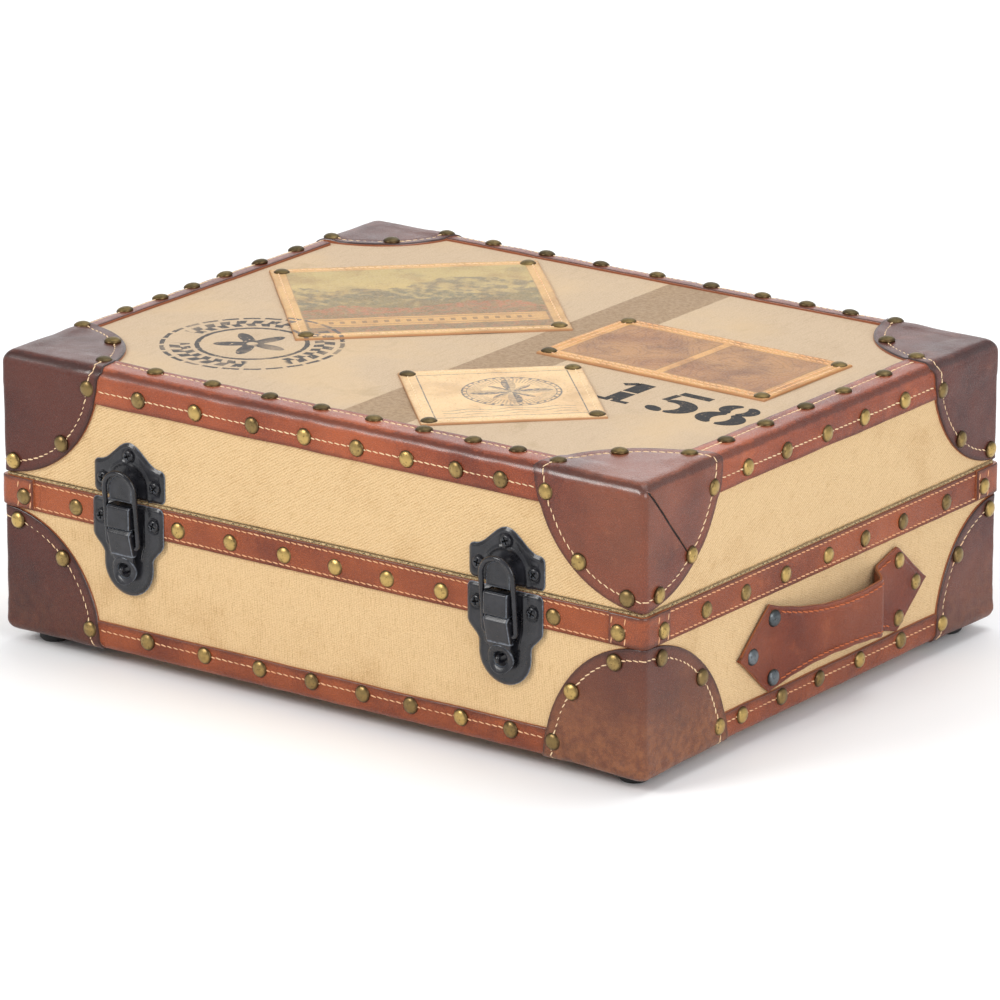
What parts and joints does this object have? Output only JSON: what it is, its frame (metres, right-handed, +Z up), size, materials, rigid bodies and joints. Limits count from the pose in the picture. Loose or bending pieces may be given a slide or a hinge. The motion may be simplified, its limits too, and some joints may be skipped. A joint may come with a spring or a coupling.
{
  "type": "storage trunk",
  "caption": "Shallow rectangular canvas-covered trunk with leather corners and bindings, draw latches on the front, strap handles on the ends and a hinged lid.",
  "frame": {"origin": "middle of the object's footprint, on the surface that the feet stand on", "axes": "+X to the right along the long side seen from the latched front, +Y to the hinged back, +Z up"},
  "size_m": [0.456, 0.3558, 0.168],
  "materials": {
    "pine_board": "sawn, unfinished",
    "canvas": "twill-woven, matte",
    "lining_cloth": "plain cotton, matte",
    "strap_leather": "waxed, satin",
    "corner_leather": "waxed, glossy",
    "handle_leather": "oiled, satin",
    "picture_leather": "printed, satin",
    "black_steel": "black enamel, satin gloss",
    "black_rubber": "matte"
  },
  "bodies": {
    "base": {"base_bottom_board": "pine_board", "base_front_board": "pine_board", "base_back_board": "pine_board", "base_left_board": "pine_board", "base_right_board": "pine_board", "base_canvas": "canvas", "base_lining": "lining_cloth", "base_binding_front": "strap_leather", "base_binding_back": "strap_leather", "base_binding_left": "strap_leather", "base_binding_right": "strap_leather", "rim_band": "strap_leather", "base_corner_front_left": "corner_leather", "base_corner_front_right": "corner_leather", "base_corner_back_left": "corner_leather", "base_corner_back_right": "corner_leather", "rim_wrap_front_left": "corner_leather", "rim_wrap_front_right": "corner_leather", "rim_wrap_back_left": "corner_leather", "rim_wrap_back_right": "corner_leather", "foot_front_left": "black_rubber", "foot_front_right": "black_rubber", "foot_back_left": "black_rubber", "foot_back_right": "black_rubber", "handle_left": "handle_leather", "handle_right": "handle_leather", "latch_base_plate_left": "black_steel", "latch_base_plate_right": "black_steel", "latch_pin_left": "black_steel", "latch_pin_right": "black_steel", "hinge_base_leaf_left": "black_steel", "hinge_base_leaf_right": "black_steel", "hinge_pin_left": "black_steel", "hinge_pin_right": "black_steel"},
    "lid": {"lid_top_board": "pine_board", "lid_front_board": "pine_board", "lid_back_board": "pine_board", "lid_left_board": "pine_board", "lid_right_board": "pine_board", "lid_canvas": "canvas", "lid_lining": "lining_cloth", "lid_binding_front": "strap_leather", "lid_binding_back": "strap_leather", "lid_binding_left": "strap_leather", "lid_binding_right": "strap_leather", "lid_corner_front_left": "corner_leather", "lid_corner_front_right": "corner_leather", "lid_corner_back_left": "corner_leather", "lid_corner_back_right": "corner_leather", "lid_picture_large": "picture_leather", "lid_picture_small": "picture_leather", "lid_picture_double": "picture_leather", "latch_hook_plate_left": "black_steel", "latch_hook_plate_right": "black_steel", "hinge_lid_leaf_left": "black_steel", "hinge_lid_leaf_right": "black_steel"},
    "latch_lever_left": {"latch_lever_left": "black_steel"},
    "latch_lever_right": {"latch_lever_right": "black_steel"},
    "latch_loop_left": {"latch_loop_left": "black_steel"},
    "latch_loop_right": {"latch_loop_right": "black_steel"}
  },
  "joints": [
    {"name": "lid_hinge", "type": "hinge", "parent": "base", "child": "lid", "pos_m": [0, 0.17515, 0.098], "axis": [-1, 0, 0], "range_deg": [0, 100]},
    {"name": "latch_lever_left_pivot", "type": "hinge", "parent": "base", "child": "latch_lever_left", "pos_m": [-0.1265, -0.17515, 0.081], "axis": [-1, 0, 0], "range_deg": [0, 95]},
    {"name": "latch_loop_left_swing", "type": "hinge", "parent": "latch_lever_left", "child": "latch_loop_left", "pos_m": [-0.1265, -0.17295, 0.073], "axis": [1, 0, 0], "range_deg": [0, 142.5]},
    {"name": "latch_lever_right_pivot", "type": "hinge", "parent": "base", "child": "latch_lever_right", "pos_m": [0.1265, -0.17515, 0.081], "axis": [-1, 0, 0], "range_deg": [0, 95]},
    {"name": "latch_loop_right_swing", "type": "hinge", "parent": "latch_lever_right", "child": "latch_loop_right", "pos_m": [0.1265, -0.17295, 0.073], "axis": [1, 0, 0], "range_deg": [0, 142.5]}
  ],
  "couplings": [
    {"joint": "latch_loop_left_swing", "follows": "latch_lever_left_pivot", "ratio": 1.5},
    {"joint": "latch_loop_right_swing", "follows": "latch_lever_right_pivot", "ratio": 1.5}
  ]
}
